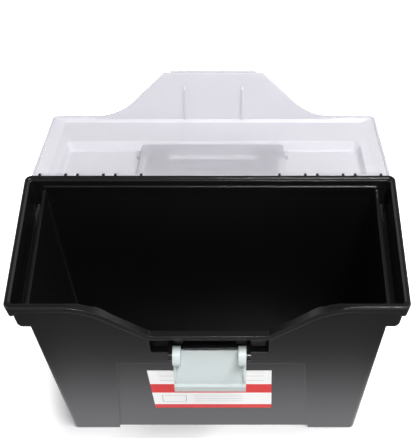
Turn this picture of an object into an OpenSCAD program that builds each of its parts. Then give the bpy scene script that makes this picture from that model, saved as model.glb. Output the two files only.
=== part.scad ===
// Portable file box, shown open: a drafted tub with a scooped front wall, a frosted lid laid back on its
// rear hinge, a front latch hanging open, and a bail handle folded into the lid.
// Millimetres. X runs across the box, +Y to the rear, +Z up. The origin is the base's bottom centre.

/* [Tub] */
// Width over the rim
rim_w = 340; // [320:1:360]
// Depth over the rim, front to back
rim_d = 144; // [130:1:170]
// Height of the rim above the base
box_h = 267; // [240:1:300]
// Thickness of the walls
wall = 2.4; // [1.8:0.1:3.2]
// Thickness of the floor
floor_t = 2.6; // [2:0.1:4]
// Chamfer round the inside of the floor
floor_chamfer = 3; // [1:0.5:5]
// Lean of the end walls, width gained per mm of height
side_slope = 0.0303; // [0.01:0.001:0.05]
// Lean of the front and rear walls
front_slope = 0.0464; // [0.01:0.001:0.06]
// Radius of the upright corners
corner_r = 5; // [4:0.5:14]
// Radius of the edge round the base
base_edge_r = 2; // [1:0.5:6]

/* [Rim] */
// How far the rim lip stands out from the front and rear walls
lip_out = 3.6; // [2:0.1:5]
// Height of the lip on the front and rear walls
lip_h = 6.5; // [3:0.5:9]
// Height of the lip on the end walls
end_lip_h = 15; // [8:0.5:20]
// Distance of the deep end lip's corner from the end
lip_corner = 4; // [2:0.5:8]
// Lean of the lip on the end walls
end_lip_slope = 0.067; // [0.03:0.001:0.1]
// Radius of the rim's plan corners
rim_corner_r = 6; // [6:0.5:14]
// Chamfer along the rim's outer top edge
rim_chamfer = 1.5; // [0.5:0.1:2]
// Chamfer along the rim's inner top edge
rim_inner_chamfer = 1.9; // [0.5:0.1:2.2]

/* [File channels] */
// Depth of the side channels below the rim
channel_drop = 38; // [30:1:45]
// Width of the channels at their floor, inside the outer wall
channel_w = 10.6; // [8:0.1:12]
// Distance of the channels' outer wall from the lip's edge, at the rim
channel_edge = 2.6; // [2:0.1:4]
// Lean of the channels' outer wall
channel_slope = 0.04; // [0.02:0.01:0.1]
// Thickness of the channels' floor
channel_floor = 3; // [2:0.1:4]
// Chamfer along the channels' lower outer edge
channel_chamfer = 1.5; // [0.5:0.1:2]
// Drop of the rails' top edge below the rim
rail_drop = 15; // [12:1:20]
// Thickness of each rail
rail_t = 3.6; // [2.4:0.1:5]
// How far the rails stand out from the tub's end walls
rail_out = 0.6; // [0.3:0.1:1]
// Radius along the rails' top edges
rail_round = 1; // [0.5:0.1:1.2]
// Height of the small stops at the rails' ends
stop_h = 2; // [1:0.5:4]
// Length of the small stops
stop_l = 4; // [2:0.5:8]
// How far the stops stand in from the rails' sides
stop_step = 0.6; // [0.3:0.1:1]
// Distance of the stops from the front and rear walls
stop_inset = 5; // [3:0.5:12]
// Drop of the ledges inside the front and rear walls below the rim
ledge_drop = 9; // [6:1:20]
// How far the ledges inside the front and rear walls stand in
ledge_in = 1.2; // [0.6:0.1:2]
// Height over which a ledge fades into the wall below it
ledge_h = 12; // [6:1:20]

/* [Scoop in the front wall] */
// Depth of the scoop below the rim
scoop_drop = 50.5; // [40:0.5:60]
// Half width of the scoop's flat bottom, to where its slanted sides would meet it
scoop_half = 51.3; // [40:0.1:60]
// Radius of the shoulders at the top of the scoop
shoulder_r = 57; // [30:1:62]
// Radius in the scoop's bottom corners
scoop_corner_r = 4; // [2:0.5:10]

/* [Front panel and label] */
// Height of the recessed panel's top edge
panel_top = 156; // [120:1:165]
// Half width of the panel at its top edge
panel_half_top = 87; // [70:1:95]
// Half width of the panel at the base
panel_half_base = 100; // [80:1:110]
// Depth of the panel
panel_in = 3.5; // [1.5:0.1:5]
// Width of the label
label_w = 118.2; // [80:0.1:150]
// Height of the label
label_h = 87.5; // [50:0.1:90]
// Height of the label's lower edge
label_z = 46.3; // [30:0.1:60]
// Distance of the label's lower edge from the middle, to the right
label_x = 0.6; // [-3:0.1:3]
// How far the label's upper edge stands to the left of its lower edge
label_lean = 2.3; // [0:0.1:4]
// Thickness of the label
label_t = 0.3; // [0.2:0.05:0.6]

/* [Latch pocket] */
// Half width of the pocket
pocket_half = 53.5; // [48:0.5:60]
// Height of the pocket's lower edge
pocket_low = 179; // [176:0.5:182]
// Height of the pocket's upper edge
pocket_top = 209; // [200:0.5:210]
// Distance of the pocket's back from the box's middle
pocket_back_y = 57; // [54:0.5:58]
// Height over which the pocket's roof slopes down to its back
pocket_slope_h = 14; // [8:0.5:15]
// Radius of the pocket's corners
pocket_r = 3; // [1:0.5:5]
// Depth of the relief below the pocket that the latch's cheeks swing through
relief_drop = 8; // [7:0.5:12]
// Thickness of the rib that stops the hanging latch
stop_rib_t = 3; // [2:0.5:4]
// Gap between that rib's ends and the latch's cheeks
stop_rib_gap = 2; // [1:0.5:4]

/* [Latch] */
// Distance of the latch pivot in front of the box's middle
latch_y = 70; // [69:0.5:72]
// Height of the latch pivot
latch_z = 183; // [182:0.5:184]
// Half width of the latch
latch_half = 33; // [28:0.5:38]
// Distance of the plate's outer face from the pivot
plate_out = 6; // [5.5:0.1:7]
// Thickness of the latch plate
plate_t = 2.2; // [1.8:0.1:3]
// Reach of the plate past the pivot, on its short side
plate_tail = 2.6; // [1:0.1:4]
// Radius of the cheeks round the pivot
cheek_r = 9; // [7:0.5:9.5]
// Thickness of the cheeks
cheek_t = 7; // [3:0.1:9]
// Depth of the stiffening flanges along the plate's sides
latch_flange = 2.6; // [1:0.1:2.8]
// Thickness of the flanges
flange_t = 2.4; // [1.6:0.1:3]
// Extra depth of the flanges beside the cheeks
flange_root = 3; // [1:0.5:4]
// Radius of the stub pins
latch_pin_r = 2.5; // [2:0.1:3]
// Gap between a cheek and the lug beside it
lug_gap = 0.5; // [0.3:0.1:1]
// Radius of the lugs round the stub pins
lug_r = 4.5; // [4:0.1:5]
// Thickness of the lugs that carry the stub pins
lug_t = 3.6; // [3:0.1:9]
// Reach of a stub pin into its lug
lug_pin_in = 3; // [2:0.1:8]
// Height of the hook's catch face above the lid's catch
hook_gap = 0.4; // [0.3:0.05:0.8]
// Clearance of the plate and its flanges from the lid's catch
plate_gap = 0.6; // [0.4:0.1:1]
// Height of the hook
hook_h = 10; // [6:0.5:12]
// Height of the hook's upright end face, below its bevel
hook_land = 1.6; // [1:0.1:3]
// Chamfer and flat along the plate's end
plate_edge = 0.6; // [0.3:0.1:0.8]
// Reach of the hook in from the plate
hook_in = 3.2; // [2.6:0.1:3.4]
// Turn of the latch from closed to hanging open
latch_turn = 158; // [140:1:160]

/* [Lid] */
// Gap between the rim and the closed lid's edge
seat_gap = 0.5; // [0.3:0.1:1]
// Thickness of the lid
lid_t = 2; // [1.6:0.1:2.6]
// How far the lid's front and rear edges stand in from the rim's
lid_set = 0.6; // [0.3:0.1:1]
// Height of the lid's upright edge
skirt_h = 3; // [2:0.5:6]
// Height of the roof above the lid's edge
roof_h = 8; // [7:0.5:14]
// How far the roof's sides slope in
roof_slope_x = 12; // [6:1:20]
// How far the roof's front and rear slope in
roof_slope_y = 3; // [1:0.5:6]
// Height of the plateau above the roof
plateau_h = 9.5; // [9.3:0.1:12]
// Half width of the plateau at its foot
plateau_half = 152; // [120:1:154]
// Distance of the plateau's front edge from the box's middle
plateau_front = 26; // [18:1:32]
// Distance of the plateau's rear edge from the box's middle
plateau_rear = 62; // [56:1:64]
// How far the plateau's sides lean in
plateau_lean = 4; // [2:0.5:6]
// Radius of the plateau's plan corners
plateau_r = 8; // [5:0.5:12]
// Chamfer round the plateau's top
plateau_edge = 1.5; // [0.5:0.1:2]
// Clearance between the lid's tongue and the scoop
tongue_gap = 0.5; // [0.3:0.1:1]
// Thickness of the tongue
tongue_t = 2.2; // [1.8:0.1:3]
// How far the tongue's outer face stands in from the lip's face
tongue_set = 1.2; // [0.8:0.1:1.6]
// Half width of the catch at the tongue's tip
catch_half = 44; // [35:0.5:48]
// Thickness of the catch
catch_h = 2; // [1.5:0.1:3]
// Thickness of the ribs behind the tongue
rib_t = 2.4; // [1.2:0.1:3]
// Distance of the ribs from the middle
rib_x = 30; // [20:1:40]
// Height of the ribs' lower ends above the tongue's tip
rib_low = 13; // [6:1:20]
// Depth of the ribs
rib_in = 2.5; // [1:0.1:3]
// Thickness of the gussets over the catch
gusset_t = 1.6; // [1:0.1:2.4]
// Distance of the gussets from the middle
gusset_x = 35; // [31:1:40]
// Height of the gussets
gusset_h = 14; // [8:1:20]

/* [Hinge] */
// Distance of the hinge axis behind the rear wall's lip
hinge_back = 3.5; // [3.5:0.1:5]
// Depth of the hinge axis below the rim
hinge_drop = 8; // [8:0.1:9]
// Turn of the lid from closed to laid back
lid_turn = 201; // [195:1:205]
// Distance from one pair of ears to the next
ear_pitch = 35; // [30:1:40]
// Distance between the two ears of a pair, middle to middle
ear_gap = 24; // [18:1:26]
// Thickness of the ears
ear_t = 2.2; // [1.8:0.1:3]
// Radius of the ears round the hinge pins
ear_r = 3.4; // [3:0.1:3.8]
// Reach of the ears down the wall below the axis
ear_foot = 14; // [8:1:20]
// Radius of the hinge pins
hinge_pin_r = 1.8; // [1.4:0.1:2]
// Radius of the lid's knuckles
knuckle_r = 3.1; // [2.8:0.1:3.4]
// Gap between a knuckle and the ears beside it
knuckle_gap = 0.3; // [0.2:0.05:0.6]
// Clearance between the knuckles' webs and the rim's lip
web_gap = 1.2; // [0.8:0.1:1.6]
// Thickness of the pads behind the rim that stop the open lid
pad_t = 2.4; // [1.5:0.1:3]
// Depth of the pads' tops below the hinge axis
pad_drop = 6; // [5:0.5:8]
// Height of the pads
pad_h = 8; // [6:0.5:10]
// Margin of the heels' ends inside the pads' height
heel_in = 1; // [0.5:0.1:2]

/* [Handle] */
// Half width over the handle's arms
handle_half = 66; // [55:1:75]
// Half width of the finger gap
grip_half = 44; // [40:1:55]
// Distance of the handle pivot in front of the box's middle
handle_pivot = 7; // [5:0.5:8]
// Length from the pivot to the outer edge of the grip
handle_l = 47.5; // [40:0.5:49]
// Width of the grip
grip_w = 38; // [24:1:39]
// Thickness of the handle's arms
handle_t = 8.5; // [7:0.1:8.8]
// Thickness of the grip, level with the arms on its outer side
grip_t = 6; // [4:0.1:7]
// Radius of the stub pins
handle_pin_r = 2.5; // [2:0.1:3]
// Length of the stub pins
handle_pin_l = 8; // [5:0.5:10]
// Clearance round the folded handle
handle_gap = 4; // [3:0.5:6]
// Radius of the corners of the well round the handle
well_r = 4; // [2:0.5:6]
// Height of the well's floor above the lid's roof
well_lift = 0.3; // [0.1:0.1:0.5]
// Clearance between the folded handle and the well's floor
well_gap = 0.5; // [0.3:0.1:1]
// Radius of the bosses round the handle's bores
boss_r = 4.4; // [4:0.1:4.6]
// Length of the bosses
boss_l = 6; // [4:0.5:7]

/* [Fits] */
// Radial clearance of the pins in their bores
pin_gap = 0.08; // [0.03:0.01:0.1]
// Gap at the stops
stop_gap = 0.25; // [0.2:0.05:0.4]

/* [Hidden] */
$fn = 48;

// Overlap of touching solids, thickness of a hull's layers, and reach of a cutter past what it cuts
eps = 0.01;
thin = 0.2;
past = 5;
// How far the parts of one moulding are rooted in each other, and what a rounding leaves flat
root = 1;
flat = 0.3;
half_w = rim_w / 2;
half_d = rim_d / 2;

// Walls at height z: distance from the middle to the outer face
function front_y(z) = half_d - lip_out - front_slope * (box_h - z);
ledge_z = box_h - channel_drop;
function channel_x(z) = half_w - channel_edge - channel_slope * (box_h - z);
function side_x(z) = channel_x(ledge_z) - channel_w - side_slope * (ledge_z - z);
rail_top = box_h - rail_drop;
end_lip_z = box_h - end_lip_h;

// Scoop
scoop_z = box_h - scoop_drop;
shoulder_x = scoop_half + scoop_drop - shoulder_r + shoulder_r * sqrt(2);

// Lid, drawn closed
lid_z = box_h + seat_gap;
lid_half_d = half_d - lid_set;
roof_z = lid_z + roof_h;
plateau_z = roof_z + plateau_h;
tip_z = scoop_z + tongue_gap;
catch_y = latch_y + plate_out - plate_t - plate_gap;
function tongue_y(z) = front_y(z) + lip_out - tongue_set;

// Hinge
hinge_y = half_d + hinge_back;
hinge_z = box_h - hinge_drop;
pad_y = front_y(hinge_z - 2 * pad_drop) + pad_t;
pad_z = hinge_z - pad_drop - pad_h;
stations = [for (side = [-1, 1], i = [-1, 0, 1]) side * (ear_pitch * (i + 3) + 6)];

// Latch
hook_low = tip_z + catch_h + hook_gap - latch_z;
pin_l = lug_gap + lug_pin_in;
lug_x = latch_half + lug_gap;

// Handle
well_z = roof_z + well_lift;
pivot_z = well_z + well_gap + handle_t / 2;
pocket_x = handle_half + handle_gap;

// Points on an arc from angle a to angle b
function arc(cx, cy, r, a, b, n = 10) = [for (i = [0:n]) let (t = a + (b - a) * i / n)
    [cx + r * cos(t), cy + r * sin(t)]];

// Right half of the scoop's edge, moved by d into the wall: bottom corner, slanted side, then shoulder
function scoop_right(d) = let (
    low_r = scoop_corner_r + d,
    top_r = shoulder_r - d,
    low_x = scoop_half - scoop_corner_r * (sqrt(2) - 1),
    low_z = scoop_z + scoop_corner_r)
    concat(arc(low_x, low_z, low_r, -90, -45, 6), arc(shoulder_x, box_h - shoulder_r, top_r, 135, 90, 14));

function mirrored(points) = [for (i = [len(points) - 1:-1:0]) [-points[i][0], points[i][1]]];
function scoop_edge(d) = concat(mirrored(scoop_right(d)), scoop_right(d));

// A turn in the Y-Z plane by angle a about the point (cy, cz)
function turned(p, cy, cz, a) = let (y = p[0] - cy, z = p[1] - cz)
    [cy + y * cos(a) - z * sin(a), cz + y * sin(a) + z * cos(a)];

module rounded(w, d, r) {
    // rectangle of half width w and half depth d with round corners
    polygon(concat(arc(w - r, d - r, r, 0, 90, 8), arc(r - w, d - r, r, 90, 180, 8),
        arc(r - w, r - d, r, 180, 270, 8), arc(w - r, r - d, r, 270, 360, 8)));
}

// Thin layer of a hull, from height z up
module slab(z, w, d, r, t = thin) translate([0, 0, z]) linear_extrude(t) rounded(w, d, r);

// Outline in X-Z carried along Y from y0 to y1
module along_y(y0, y1) translate([0, y1, 0]) rotate([90, 0, 0]) linear_extrude(y1 - y0) children();

// Outline in Y-Z carried along X from x0 to x1
module along_x(x0, x1) translate([x0, 0, 0]) rotate([90, 0, 90]) linear_extrude(x1 - x0) children();

// Layer parallel to the leaning front wall, from out_a to out_b outside its face
module front_layer(out_a, out_b, z0, z1) along_x(-half_w, half_w) polygon([
    [-front_y(z0) - out_b, z0], [-front_y(z0) - out_a, z0],
    [-front_y(z1) - out_a, z1], [-front_y(z1) - out_b, z1]]);

// BODY

module tub_outside() {
    hull() {
        for (a = [0:30:90])
            slab(base_edge_r * (1 - sin(a)), side_x(0) - base_edge_r * (1 - cos(a)),
                front_y(0) - base_edge_r * (1 - cos(a)), corner_r);
        slab(box_h - thin, side_x(box_h), front_y(box_h), corner_r);
    }
    low_z = ledge_z + channel_chamfer;
    hull() {
        slab(ledge_z, channel_x(ledge_z) - channel_chamfer, front_y(ledge_z), corner_r - 1);
        slab(low_z, channel_x(low_z), front_y(low_z), corner_r);
        slab(box_h - thin, channel_x(box_h), front_y(box_h), corner_r);
    }
}

module tub_hollow() {
    chamfer_z = floor_t + floor_chamfer;
    floor_in = wall + floor_chamfer;
    difference() {
        hull() {
            slab(floor_t, side_x(floor_t) - floor_in, front_y(floor_t) - floor_in, corner_r - wall);
            slab(chamfer_z, side_x(chamfer_z) - wall, front_y(chamfer_z) - wall, corner_r - wall);
            slab(box_h + past, side_x(box_h + past) - wall, front_y(box_h + past) - wall, corner_r - wall);
        }
        panel_backing();
        pocket_backing();
    }
    hull() {
        slab(ledge_z + channel_floor, channel_x(ledge_z + channel_floor) - wall,
            front_y(ledge_z + channel_floor) - wall, corner_r - wall);
        slab(box_h + past, channel_x(box_h + past) - wall, front_y(box_h + past) - wall, corner_r - wall);
    }
    // Chamfer along the rim's inner edge
    hull() {
        slab(box_h - rim_inner_chamfer, channel_x(box_h) - wall, front_y(box_h) - wall, corner_r - wall);
        slab(box_h + past, channel_x(box_h) - wall + rim_inner_chamfer + past,
            front_y(box_h) - wall + rim_inner_chamfer + past, corner_r - wall + rim_inner_chamfer + past);
    }
}

module rim_lip() {
    ramp = end_lip_h - lip_h;
    low_z = scoop_z - 2 * lip_h;
    chamfer_z = box_h - rim_chamfer - thin;
    intersection() {
        hull() {
            slab(low_z, half_w - end_lip_slope * (box_h - low_z), front_y(low_z) + lip_out, rim_corner_r);
            slab(chamfer_z, half_w - end_lip_slope * rim_chamfer, front_y(chamfer_z) + lip_out, rim_corner_r);
            slab(box_h - thin, half_w - rim_chamfer, half_d - rim_chamfer, rim_corner_r - rim_chamfer);
        }
        union() {
            along_x(-half_w, half_w) polygon([[-half_d, box_h], [half_d, box_h], [half_d, box_h - lip_h],
                [half_d - ramp, end_lip_z], [ramp - half_d, end_lip_z], [-half_d, box_h - lip_h]]);
            // Deeper lip at the corners
            for (side = [-1, 1])
                along_y(-half_d, half_d) polygon([
                    [side * half_w, box_h], [side * (half_w - rim_corner_r), box_h],
                    [side * (half_w - ramp - lip_corner), box_h - lip_h],
                    [side * (half_w - lip_corner), end_lip_z], [side * half_w, end_lip_z]]);
            // The lip runs on along the scoop's edge
            along_y(-half_d, -front_y(0) + past)
                polygon(concat(scoop_edge(0), mirrored([for (p = scoop_edge(lip_h)) [-p[0], p[1]]])));
        }
    }
}

module scoop_opening() along_y(-half_d - past, -front_y(0) + 2 * past)
    polygon(concat(scoop_edge(0), [[shoulder_x, box_h + past], [-shoulder_x, box_h + past]]));

module panel_outline(grow) polygon([[-panel_half_base - grow, -past], [panel_half_base + grow, -past],
    [panel_half_top + grow, panel_top + grow], [-panel_half_top - grow, panel_top + grow]]);

module panel_recess() intersection() {
    along_y(-half_d, 0) panel_outline(0);
    front_layer(-panel_in, past, -past, box_h);
}

module panel_backing() intersection() {
    along_y(-half_d, 0) panel_outline(wall);
    front_layer(-panel_in - wall, 0, -past, box_h);
}

module pocket_outline(grow) translate([0, (pocket_low + pocket_top) / 2])
    rounded(pocket_half + grow, (pocket_top - pocket_low) / 2 + grow, pocket_r);

module relief_outline(grow) {
    relief_low = pocket_low - relief_drop - grow;
    translate([0, (relief_low + pocket_top) / 2])
        rounded(lug_x + grow, (pocket_top - relief_low) / 2, pocket_r);
}

// Side view of the pocket: its roof slopes down to its back
module pocket_side(grow) {
    roof_y = -front_y(pocket_top) - past;
    slope = pocket_slope_h / (front_y(pocket_top) - pocket_back_y);
    top = pocket_top + grow * sqrt(1 + slope * slope);
    back_y = -pocket_back_y + grow;
    along_x(-half_w, half_w) polygon([[-half_d - past, 0], [back_y, 0],
        [back_y, top - slope * (back_y + front_y(pocket_top))], [roof_y, top + slope * past],
        [-half_d - past, top + slope * past]]);
}

module pocket() intersection() {
    along_y(-half_d - past, -pocket_back_y) {
        pocket_outline(0);
        relief_outline(0);
    }
    pocket_side(0);
}

module pocket_backing() intersection() {
    along_y(-half_d, -pocket_back_y + wall) {
        pocket_outline(wall);
        relief_outline(wall);
    }
    pocket_side(wall);
}

module latch_lugs() for (side = [-1, 1]) {
    x0 = side > 0 ? lug_x : -lug_x - lug_t;
    translate([x0, -latch_y, latch_z]) rotate([0, 90, 0]) cylinder(h = lug_t, r = lug_r);
    translate([x0, -latch_y, latch_z - lug_r]) cube([lug_t, latch_y - pocket_back_y + eps, 2 * lug_r]);
}

// Rib in the pocket that the plate's short side comes up against when the latch hangs open
module latch_stop() {
    tail = turned([-latch_y - plate_out + plate_t, latch_z - plate_tail], -latch_y, latch_z, latch_turn);
    stop_half = latch_half - cheek_t - stop_rib_gap;
    translate([-stop_half, tail[0] - eps, tail[1] + stop_gap])
        cube([2 * stop_half, -pocket_back_y - tail[0] + 2 * eps, stop_rib_t]);
}

module file_rails() for (side = [-1, 1]) {
    rail_x = side_x(ledge_z) - rail_t / 2 + rail_out;
    rail_half = front_y(ledge_z) - wall / 3;
    stop_y = front_y(rail_top) - wall - stop_inset;
    rotate([0, 0, side > 0 ? 0 : 180]) {
        along_y(-rail_half, rail_half) polygon(concat(
            [[rail_x - rail_t / 2, ledge_z + eps], [rail_x + rail_t / 2, ledge_z + eps]],
            arc(rail_x + rail_t / 2 - rail_round, rail_top - rail_round, rail_round, 0, 90, 4),
            arc(rail_x - rail_t / 2 + rail_round, rail_top - rail_round, rail_round, 90, 180, 4)));
        for (end = [-1, 1])
            translate([rail_x - rail_t / 2 + stop_step, end * stop_y - stop_l / 2, rail_top - root])
                cube([rail_t - 2 * stop_step, stop_l, stop_h + root]);
    }
}

module wall_ledges() {
    top = box_h - ledge_drop;
    for (side = [-1, 1]) rotate([0, 0, side > 0 ? 0 : 180])
        along_x(-side_x(ledge_z) + rail_t / 2, side_x(ledge_z) - rail_t / 2) polygon([
            [front_y(top) - wall - ledge_in, top], [front_y(top) - wall + root, top],
            [front_y(top - ledge_h) - wall + root, top - ledge_h],
            [front_y(top - ledge_h) - wall, top - ledge_h]]);
}

module hinge_ears() for (x = stations, side = [-1, 1])
    along_x(x + side * ear_gap / 2 - ear_t / 2, x + side * ear_gap / 2 + ear_t / 2) {
        translate([hinge_y, hinge_z]) circle(r = ear_r);
        polygon([
            [front_y(hinge_z) - root, hinge_z + ear_r], [hinge_y, hinge_z + ear_r], [hinge_y + ear_r, hinge_z],
            turned([hinge_y + ear_r, hinge_z], hinge_y, hinge_z, -45),
            [front_y(hinge_z) - root, hinge_z - ear_foot]]);
    }

// Pads between the ears that the open lid's heels come to rest on
module hinge_pads() for (x = stations)
    along_x(x - ear_gap / 2 + ear_t, x + ear_gap / 2 - ear_t) polygon([
        [front_y(hinge_z) - root, pad_z + pad_h + root], [pad_y, pad_z + pad_h],
        [pad_y, pad_z], [front_y(hinge_z) - root, pad_z - 2 * pad_t]]);

module body() color([0.1, 0.1, 0.11]) difference() {
    union() {
        difference() {
            union() {
                tub_outside();
                rim_lip();
            }
            tub_hollow();
        }
        file_rails();
        difference() {
            wall_ledges();
            scoop_opening();
        }
        hinge_ears();
        hinge_pads();
        latch_lugs();
    }
    scoop_opening();
    panel_recess();
    difference() {
        pocket();
        latch_lugs();
        latch_stop();
    }
    for (x = stations)
        translate([x - ear_gap, hinge_y, hinge_z]) rotate([0, 90, 0])
            cylinder(h = 2 * ear_gap, r = hinge_pin_r + pin_gap);
    translate([-lug_x - lug_t - eps, -latch_y, latch_z]) rotate([0, 90, 0])
        cylinder(h = 2 * (lug_x + lug_t + eps), r = latch_pin_r + pin_gap);
}

// LID, drawn closed and then laid back on its hinge

module lid_shell() difference() {
    union() {
        hull() {
            slab(lid_z, half_w, lid_half_d, rim_corner_r, skirt_h);
            slab(roof_z - thin, half_w - roof_slope_x, lid_half_d - roof_slope_y, rim_corner_r);
        }
        hull() plateau(0);
    }
    hull() {
        slab(lid_z - past, half_w - lid_t, lid_half_d - lid_t, rim_corner_r - lid_t,
            skirt_h + past - lid_t / 2);
        slab(roof_z - lid_t - thin, half_w - roof_slope_x - lid_t / 4, lid_half_d - roof_slope_y - lid_t,
            rim_corner_r - lid_t);
    }
    difference() {
        hull() plateau(lid_t);
        handle_well(lid_t, roof_z - 2 * lid_t);
    }
    handle_well(0, well_z);
}

// Layers of the plateau's hull, inset for its hollow
module plateau(inset) {
    mid = (plateau_rear - plateau_front) / 2;
    half_x = plateau_half - inset;
    half_y = (plateau_rear + plateau_front) / 2 - inset;
    edge_in = plateau_lean * (1 - plateau_edge / plateau_h);
    top_in = edge_in + plateau_edge;
    translate([0, mid, 0]) {
        slab(roof_z - lid_t - root, half_x, half_y, plateau_r - inset);
        slab(plateau_z - inset - plateau_edge, half_x - edge_in, half_y - edge_in, plateau_r - inset);
        slab(plateau_z - inset - thin, half_x - top_in, half_y - top_in, plateau_r - inset - 1);
    }
}

// Well in the plateau that takes the folded handle, from height z up; grow adds its walls
module handle_well(grow, z) {
    front = -handle_pivot - handle_t / 2 - handle_gap;
    rear = handle_l - handle_pivot + handle_gap;
    translate([0, (front + rear) / 2, z]) linear_extrude(plateau_z - z + past)
        rounded(pocket_x + grow, (rear - front) / 2 + grow, well_r);
}

module handle_bosses() for (side = [-1, 1])
    translate([side > 0 ? pocket_x + eps : -pocket_x - boss_l, -handle_pivot, pivot_z])
        rotate([0, 90, 0]) cylinder(h = boss_l - eps, r = boss_r);

module handle_bores() translate([-pocket_x - handle_pin_l, -handle_pivot, pivot_z]) rotate([0, 90, 0])
    cylinder(h = 2 * (pocket_x + handle_pin_l), r = handle_pin_r + pin_gap);

module tongue() {
    top_z = lid_z + skirt_h;
    intersection() {
        along_y(-half_d, -front_y(0) + past) polygon(concat(scoop_edge(-tongue_gap),
            [[shoulder_x, top_z - lid_t / 4], [-shoulder_x, top_z - lid_t / 4]]));
        front_layer(lip_out - tongue_set - tongue_t, lip_out - tongue_set, tip_z - root, top_z + past);
    }
    // Catch that the latch hooks over
    translate([-catch_half, -catch_y, tip_z])
        cube([2 * catch_half, catch_y - tongue_y(tip_z) + root, catch_h]);
    // Stiffening ribs behind the tongue
    low = tip_z + rib_low;
    full = low + 2 * rib_in;
    for (x = [-rib_x, rib_x])
        along_x(x - rib_t / 2, x + rib_t / 2) polygon([
            [-tongue_y(low) + root, low], [-tongue_y(full) + tongue_t + rib_in, full],
            [-tongue_y(lid_z) + tongue_t + rib_in, lid_z + lid_t], [-tongue_y(lid_z) + root, lid_z + lid_t]]);
    // Gussets over the catch
    for (x = [-gusset_x, gusset_x])
        along_x(x - gusset_t / 2, x + gusset_t / 2) polygon([
            [-catch_y + root, tip_z + root], [-catch_y + root, tip_z + catch_h],
            [-tongue_y(tip_z + gusset_h) - eps, tip_z + gusset_h],
            [-tongue_y(tip_z) + root, tip_z + gusset_h], [-tongue_y(tip_z) + root, tip_z + root]]);
}

// Knuckles with their heels, which meet the pads when the lid is laid back, and with their stub pins
module knuckles() {
    heel_y = pad_y + stop_gap;
    heel_low = turned([heel_y, pad_z + pad_h - heel_in], hinge_y, hinge_z, lid_turn);
    heel_top = turned([heel_y, pad_z + heel_in], hinge_y, hinge_z, lid_turn);
    back = lid_half_d - lid_t / 2;
    side = [hinge_y + knuckle_r, hinge_z];
    for (x = stations) {
        along_x(x - ear_gap / 2 + ear_t / 2 + knuckle_gap, x + ear_gap / 2 - ear_t / 2 - knuckle_gap) {
            translate([hinge_y, hinge_z]) circle(r = knuckle_r);
            polygon([[back - root, lid_z + skirt_h], [back - root, heel_top[1]], heel_top, heel_low,
                turned(side, hinge_y, hinge_z, 15), [hinge_y, hinge_z], turned(side, hinge_y, hinge_z, 157),
                [half_d + web_gap, lid_z + seat_gap], [back, lid_z + seat_gap]]);
        }
        translate([x - ear_gap / 2 - ear_t / 2, hinge_y, hinge_z]) rotate([0, 90, 0])
            cylinder(h = ear_gap + ear_t, r = hinge_pin_r);
    }
}

module laid_back() translate([0, hinge_y, hinge_z]) rotate([-lid_turn, 0, 0])
    translate([0, -hinge_y, -hinge_z]) children();

module lid() color([0.88, 0.88, 0.9, 0.6]) laid_back() {
    difference() {
        union() {
            lid_shell();
            handle_bosses();
        }
        handle_bores();
    }
    tongue();
    knuckles();
}

// LATCH, drawn closed and then turned to hang open

module latch_closed() {
    axis = [0, -latch_y, latch_z];
    inner = -latch_y - plate_out + plate_t;
    outer = inner - plate_t;
    end_z = latch_z + hook_low + hook_h;
    // Plate with its hook
    along_x(-latch_half, latch_half) polygon([
        [outer, latch_z - plate_tail], [inner, latch_z - plate_tail], [inner, latch_z + hook_low],
        [inner + hook_in, latch_z + hook_low], [inner + hook_in, latch_z + hook_low + hook_land],
        [outer + 2 * plate_edge, end_z], [outer + plate_edge, end_z], [outer, end_z - plate_edge]]);
    for (side = [-1, 1]) {
        cheek_x = side > 0 ? latch_half - cheek_t : -latch_half;
        flange_x = side > 0 ? latch_half - flange_t : -latch_half;
        pin_x = side > 0 ? latch_half - eps : -latch_half - pin_l;
        intersection() {
            translate([cheek_x, 0, 0] + axis) rotate([0, 90, 0]) cylinder(h = cheek_t, r = cheek_r);
            translate([cheek_x, outer, latch_z - cheek_r]) cube([cheek_t, plate_out + cheek_r, 2 * cheek_r]);
        }
        // Flange along the plate's side, ending below the lid's catch
        along_x(flange_x, flange_x + flange_t) polygon([
            [inner - root, latch_z], [inner + latch_flange + flange_root, latch_z + flange_root + root],
            [inner + latch_flange, latch_z + cheek_r + flange_root],
            [inner + latch_flange, tip_z - latch_flange],
            [inner, tip_z - plate_gap], [inner - root, tip_z - plate_gap]]);
        translate([pin_x, 0, 0] + axis) rotate([0, 90, 0]) cylinder(h = pin_l + eps, r = latch_pin_r);
    }
}

module latch() color([0.72, 0.76, 0.76]) translate([0, -latch_y, latch_z]) rotate([latch_turn, 0, 0])
    translate([0, latch_y, -latch_z]) latch_closed();

// HANDLE, drawn folded into the closed lid

module handle_closed() {
    grip_y = handle_l - handle_pivot;
    arm_y = -handle_pivot - handle_t / 2;
    along_x(-handle_half, handle_half) translate([grip_y - grip_w / 2, pivot_z + (handle_t - grip_t) / 2])
        rounded(grip_w / 2, grip_t / 2, grip_t / 2 - flat);
    for (side = [-1, 1]) {
        arm_x = side > 0 ? grip_half : -handle_half;
        pin_x = side > 0 ? handle_half - eps : -handle_half - handle_pin_l;
        along_x(arm_x, arm_x + handle_half - grip_half) translate([(grip_y + arm_y) / 2, pivot_z])
            rounded((grip_y - arm_y) / 2, handle_t / 2, handle_t / 2 - flat);
        translate([pin_x, -handle_pivot, pivot_z]) rotate([0, 90, 0])
            cylinder(h = handle_pin_l + eps, r = handle_pin_r);
    }
}

module handle() color([0.2, 0.2, 0.21]) laid_back() handle_closed();

// LABEL

module label() color("white") intersection() {
    along_y(-half_d, 0) polygon([[label_x - label_w / 2, label_z], [label_x + label_w / 2, label_z],
        [label_x - label_lean + label_w / 2, label_z + label_h],
        [label_x - label_lean - label_w / 2, label_z + label_h]]);
    front_layer(-panel_in, -panel_in + label_t, 0, box_h);
}

body();
lid();
latch();
handle();
label();
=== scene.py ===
import math

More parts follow.
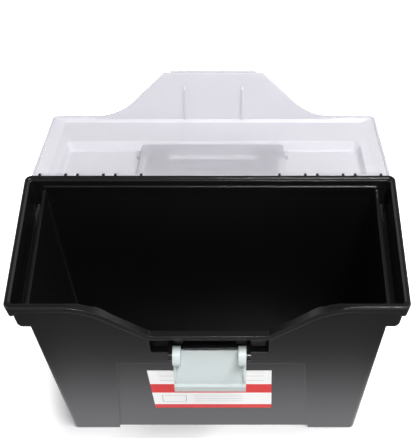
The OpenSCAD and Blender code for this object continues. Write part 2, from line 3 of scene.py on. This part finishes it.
import bmesh
import bpy
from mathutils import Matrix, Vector

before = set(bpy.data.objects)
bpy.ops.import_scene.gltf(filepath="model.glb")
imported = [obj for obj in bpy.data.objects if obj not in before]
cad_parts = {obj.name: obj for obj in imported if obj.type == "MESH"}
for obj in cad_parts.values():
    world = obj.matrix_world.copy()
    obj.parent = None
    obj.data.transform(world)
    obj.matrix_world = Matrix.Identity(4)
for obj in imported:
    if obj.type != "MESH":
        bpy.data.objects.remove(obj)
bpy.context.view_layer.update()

# Camera and lamps
# The viewpoint is above and in front of the box, looking 53 degrees down into its open mouth.
# One long strip lamp hangs above the box, a little in front and to the right, and three weak soft lamps fill in.
PHOTO_W, PHOTO_H = 415, 438
FOCAL_PX = 955.55
VIEW_AXIS_PX = 238.61  # column of the picture that the camera's axis passes through
DOWN_TILT = math.radians(53.13)
EYE = Vector((0.02618, -0.48741, 0.94471))
SENSOR_MM = 36.0

camera_data = bpy.data.cameras.new("camera")
camera_data.sensor_width = SENSOR_MM
camera_data.lens = FOCAL_PX * SENSOR_MM / PHOTO_H
camera_data.shift_x = (PHOTO_W / 2 - VIEW_AXIS_PX) / PHOTO_H
camera_data.clip_start = 0.05
camera = bpy.data.objects.new("camera", camera_data)
camera.location = EYE
camera.rotation_euler = (math.pi / 2 - DOWN_TILT, 0, 0)
bpy.context.scene.collection.objects.link(camera)
bpy.context.scene.camera = camera
bpy.context.scene.view_settings.view_transform = "Standard"


def soft_lamp(name, place, aim, size, watts):
    data = bpy.data.lights.new(name, "AREA")
    data.shape = "RECTANGLE"
    data.size, data.size_y = size
    data.energy = watts
    lamp = bpy.data.objects.new(name, data)
    lamp.location = place
    lamp.rotation_euler = (Vector(aim) - Vector(place)).to_track_quat("-Z", "Y").to_euler()
    bpy.context.scene.collection.objects.link(lamp)


NEAR_RIM = (0, 0, 0.2)
TUB_MIDDLE = (0, 0, 0.15)
soft_lamp("overhead_strip", place=(0.4, -0.35, 1.85), aim=NEAR_RIM, size=(1.1, 0.14), watts=42)
soft_lamp("front_fill", place=(0.3, -1.9, 0.7), aim=TUB_MIDDLE, size=(1.2, 0.8), watts=1.5)
soft_lamp("left_fill", place=(-1.7, -0.4, 0.8), aim=TUB_MIDDLE, size=(0.8, 0.8), watts=0.8)
soft_lamp("right_fill", place=(1.7, -0.4, 0.8), aim=TUB_MIDDLE, size=(0.8, 0.8), watts=2)


# Floor and studio
# A sheet of white paper lies under the box. Seen directly it is plain white, with the box's real shadow round its
# foot
# made deeper by painted shadow: the paper's glow is dimmer close to the foot. Glossy plastic mirrors only a painted
# pool of light near the box, a glow that fades to dark further out, and walls that are pale round the horizon under
# a dark ceiling, so that black plastic stays black.
class Socket:
    """A shader value that can be used in Python sums; each operation adds a Math node."""

    def __init__(self, shader, out):
        self.shader, self.out = shader, out

    def _math(self, operation, *values):
        return self.shader.node("ShaderNodeMath", {"operation": operation}, dict(enumerate(values)))

    def __add__(self, other):
        return self._math("ADD", self, other)

    def __radd__(self, other):
        return self._math("ADD", other, self)

    def __sub__(self, other):
        return self._math("SUBTRACT", self, other)

    def __rsub__(self, other):
        return self._math("SUBTRACT", other, self)

    def __mul__(self, other):
        return self._math("MULTIPLY", self, other)

    def __rmul__(self, other):
        return self._math("MULTIPLY", other, self)

    def size(self):
        return self._math("ABSOLUTE", self)

    def root(self):
        return self._math("SQRT", self)

    def at_least(self, lowest):
        return self._math("MAXIMUM", self, lowest)

    def above(self, edge):
        return self._math("GREATER_THAN", self, edge)

    def below(self, edge):
        return self._math("LESS_THAN", self, edge)

    def within(self, low, high):
        return self.above(low) * self.below(high)

    def smooth(self, low, high, start=0.0, end=1.0):
        return self.shader.node("ShaderNodeMapRange", {"interpolation_type": "SMOOTHSTEP"}, {
            "Value": self, "From Min": low, "From Max": high, "To Min": start, "To Max": end})


class Shader:
    """The nodes of one material or of the world; node() makes any node, from its type, settings and inputs."""

    def __init__(self, tree, output_kind):
        self.tree = tree
        self.tree.nodes.clear()
        self.output = self.tree.nodes.new(output_kind)

    def node(self, kind, settings=None, inputs=None, output=0):
        made = self.tree.nodes.new(kind)
        for key, value in (settings or {}).items():
            setattr(made, key, value)
        for key, value in (inputs or {}).items():
            if isinstance(value, Socket):
                self.tree.links.new(value.out, made.inputs[key])
            else:
                made.inputs[key].default_value = value
        return Socket(self, made.outputs[output])

    def xyz(self, vector):
        x = self.node("ShaderNodeSeparateXYZ", inputs={0: vector})
        return [Socket(self, out) for out in x.out.node.outputs]

    def mix(self, factor, low, high):
        return self.node("ShaderNodeMix", {"data_type": "RGBA"}, {0: factor, 6: low, 7: high}, output=2)

    def ray(self, kind):
        return self.node("ShaderNodeLightPath", output=kind)

    def surface(self, **inputs):
        return self.node("ShaderNodeBsdfPrincipled", inputs={k.replace("_", " "): v for k, v in inputs.items()})

    def light(self, colour):
        return self.node("ShaderNodeBackground", inputs={"Color": colour, "Strength": 1.0})

    def blend(self, factor, first, second):
        return self.node("ShaderNodeMixShader", inputs={0: factor, 1: first, 2: second})

    def show(self, shader):
        self.tree.links.new(shader.out, self.output.inputs["Surface"])


class Finish(Shader):
    """A named material that covers a piece, with grain, patches and softened edges at real sizes in metres."""

    def __init__(self, name):
        self.material = bpy.data.materials.new(name)
        self.material.use_nodes = True
        super().__init__(self.material.node_tree, "ShaderNodeOutputMaterial")

    def place(self):
        return self.node("ShaderNodeTexCoord", output="Object")

    def noise(self, per_metre, detail=2.0):
        return self.node("ShaderNodeTexNoise", inputs={"Vector": self.place(), "Scale": per_metre, "Detail": detail})

    def softened(self, radius):
        return self.node("ShaderNodeBevel", {"samples": 6}, {"Radius": radius})

    def grained(self, base_normal, height, strength, depth):
        return self.node("ShaderNodeBump", inputs={
            "Strength": strength, "Distance": depth, "Height": height, "Normal": base_normal})

    # Mask of the paler edges, which stand both for wear and for a painted highlight.
    def wear_and_highlight_edge(self, radius):
        along = self.node("ShaderNodeVectorMath", {"operation": "DOT_PRODUCT"}, {
            0: self.softened(radius), 1: self.node("ShaderNodeNewGeometry", output="True Normal")}, output="Value")
        return (1.0 - along).smooth(0.02, 0.2)

    def cover(self, piece):
        piece.data.materials.clear()
        piece.data.materials.append(self.material)


FLOOR_HALF = 4.0
FOOT_HALF_X, FOOT_HALF_Y = 0.15, 0.058
SHADOW_REACH = 0.05
PAINTED_POOL_REACH = 0.1
PAPER_ROUGHNESS = 0.9

floor_bm = bmesh.new()
bmesh.ops.create_grid(floor_bm, x_segments=8, y_segments=8, size=FLOOR_HALF)
floor_mesh = bpy.data.meshes.new("floor")
floor_bm.to_mesh(floor_mesh)
floor_bm.free()
floor = bpy.data.objects.new("floor", floor_mesh)
bpy.context.scene.collection.objects.link(floor)

paper = Finish("white_paper")
floor_x, floor_y, _ = paper.xyz(paper.place())
beside = (floor_x.size() - FOOT_HALF_X).at_least(0.0)
before = (floor_y.size() - FOOT_HALF_Y).at_least(0.0)
from_foot = (beside * beside + before * before).root()
# Painted shadow: seen directly, the paper glows grey at the box's foot and white from SHADOW_REACH outwards.
seen = paper.surface(
    Base_Color=(0.7, 0.7, 0.7, 1), Roughness=PAPER_ROUGHNESS, Emission_Strength=1.0,
    Emission_Color=paper.mix(from_foot.smooth(0.0, SHADOW_REACH), (0.22, 0.22, 0.23, 1), (1, 1, 1, 1)))
# Painted pool of light: only reflections see this glow, pale near the box and nearly black further out.
painted_pool = paper.surface(
    Base_Color=(0.05, 0.05, 0.05, 1), Roughness=PAPER_ROUGHNESS, Emission_Strength=1.0,
    Emission_Color=paper.mix(from_foot.smooth(0.0, PAINTED_POOL_REACH), (0.98, 0.96, 1, 1), (0.02, 0.02, 0.02, 1)))
bounced = paper.surface(
    Base_Color=(0.88, 0.88, 0.88, 1), Roughness=PAPER_ROUGHNESS, Emission_Strength=0.3, Emission_Color=(1, 1, 1, 1))
paper.show(paper.blend(paper.ray("Is Camera Ray"), paper.blend(paper.ray("Is Glossy Ray"), bounced, painted_pool), seen))
paper.cover(floor)

world = bpy.data.worlds.new("studio")
world.use_nodes = True
studio = Shader(world.node_tree, "ShaderNodeOutputWorld")
up = studio.xyz(studio.node("ShaderNodeTexCoord", output="Generated"))[2]
walls = up.smooth(-0.12, -0.02) * up.smooth(0.3, 0.6, 1.0, 0.0)
room = studio.light(studio.mix(walls, (0.08, 0.08, 0.08, 1), (0.7, 0.7, 0.7, 1)))
backdrop = studio.light((1, 1, 1, 1))
straight = studio.ray("Is Camera Ray").at_least(studio.ray("Is Transmission Ray"))
studio.show(studio.blend(straight, room, backdrop))
bpy.context.scene.world = world

# Tub
# One injection moulding in black polypropylene, with a fine satin grain from the spark-eroded mould and edges that
# are a little paler: wear where hands and files rub them, and a painted highlight along the edges. Everything else
# hangs on it or is stuck to it.
GRAIN_PER_M = 2600.0
GRAIN_DEPTH = 0.0002
TUB_EDGE_R = 0.0008


def satin(finish, edge_radius, grain_strength, colour, wear_and_highlight_colour, roughness, **rest):
    # The paler edge colour is both wear and a painted highlight along the softened edges.
    finish.show(finish.surface(
        Base_Color=finish.mix(finish.wear_and_highlight_edge(edge_radius), colour, wear_and_highlight_colour),
        Roughness=roughness,
        Normal=finish.grained(finish.softened(edge_radius), finish.noise(GRAIN_PER_M), grain_strength, GRAIN_DEPTH),
        **rest))


black = Finish("black_polypropylene")
# Paler edges: wear and a painted highlight.
satin(black, TUB_EDGE_R, 0.1, (0.0055, 0.0055, 0.006, 1), (0.014, 0.014, 0.015, 1),
      roughness=0.2 + 0.07 * black.noise(14.0, 3.0), Specular_IOR_Level=0.62)
black.cover(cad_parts["body"])

# Lid
# One thin moulding in frosted clear polypropylene, which lets light through and blurs it. The stub pins of its
# knuckles snap into the ears at the back of the tub.
LID_GRAIN_PER_M = 1800.0
LID_EDGE_R = 0.001
SCATTER_M = 0.02

frosted = Finish("frosted_polypropylene")
frosted.show(frosted.surface(
    Base_Color=frosted.mix(frosted.noise(25.0, 3.0), (0.565, 0.553, 0.62, 1), (0.59, 0.578, 0.645, 1)),
    Roughness=0.4 + 0.1 * frosted.noise(30.0),
    Alpha=0.7,
    Subsurface_Weight=0.45,
    Subsurface_Radius=(1.0, 1.0, 1.1),
    Subsurface_Scale=SCATTER_M,
    Normal=frosted.grained(frosted.softened(LID_EDGE_R), frosted.noise(LID_GRAIN_PER_M), 0.1, GRAIN_DEPTH)))
frosted.cover(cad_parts["lid"])

# Latch
# One moulding in pale grey polypropylene, satin, with a paler edge that is both wear and a painted highlight. It
# swings on stub pins that snap into the lugs of the tub's pocket.
LATCH_EDGE_R = 0.0006

pale_grey = Finish("pale_grey_polypropylene")
satin(pale_grey, LATCH_EDGE_R, 0.08, (0.5, 0.55, 0.55, 1), (0.58, 0.63, 0.63, 1),
      roughness=0.38 + 0.08 * pale_grey.noise(60.0))
pale_grey.cover(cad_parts["latch"])

# Handle
# One moulding in dark grey polypropylene, satin. It is a bail that folds flat into the well of the lid, on stub pins
# that snap into the well's ends.
HANDLE_EDGE_R = 0.0008

dark_grey = Finish("dark_grey_polypropylene")
# Paler edges: wear and a painted highlight.
satin(dark_grey, HANDLE_EDGE_R, 0.08, (0.16, 0.16, 0.168, 1), (0.2, 0.2, 0.21, 1),
      roughness=0.4 + 0.08 * dark_grey.noise(60.0))
dark_grey.cover(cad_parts["handle"])

# Label
# Printed card stuck in the panel on the tub's front: white with a red band and a thin red foot. There are lines to
# write on above the band, and a framed box and finer lines below it.
BAND_Z = (0.0835, 0.1036)
FOOT_TOP_Z = 0.0552
LINE_T = 0.0006
FINE_T = 0.0005
BOX_X = (-0.05, -0.026)
BOX_Z = (0.0615, 0.0775)
WHITE, WHITE_FIBRE = (0.84, 0.84, 0.835, 1), (0.88, 0.88, 0.875, 1)
INK = (0.35, 0.35, 0.36, 1)
RED = (0.7, 0.01, 0.01, 1)

card = Finish("printed_card")
label_x, _, label_z = card.xyz(card.place())


def printed(x_range, z_range, inset=0.0):
    return (label_x.within(x_range[0] + inset, x_range[1] - inset)
            * label_z.within(z_range[0] + inset, z_range[1] - inset))


ink = printed(BOX_X, BOX_Z) - printed(BOX_X, BOX_Z, LINE_T)
for left, right, thickness, heights in ((-0.05, 0.05, LINE_T, (0.1118, 0.1218)),
                                        (-0.018, 0.03, FINE_T, (0.0632, 0.0692, 0.0752))):
    for height in heights:
        ink = ink + printed((left, right), (height, height + thickness))
red_print = label_z.within(*BAND_Z) + label_z.below(FOOT_TOP_Z)
white_print = card.mix(ink, card.mix(card.noise(400.0), WHITE, WHITE_FIBRE), INK)
card.show(card.surface(
    Base_Color=card.mix(red_print, white_print, RED),
    Roughness=0.42 + 0.06 * card.noise(80.0),
    Specular_IOR_Level=0.3,
    Normal=card.node("ShaderNodeBump", inputs={"Strength": 0.05, "Distance": 0.0001, "Height": card.noise(1500.0)})))
card.cover(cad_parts["label"])
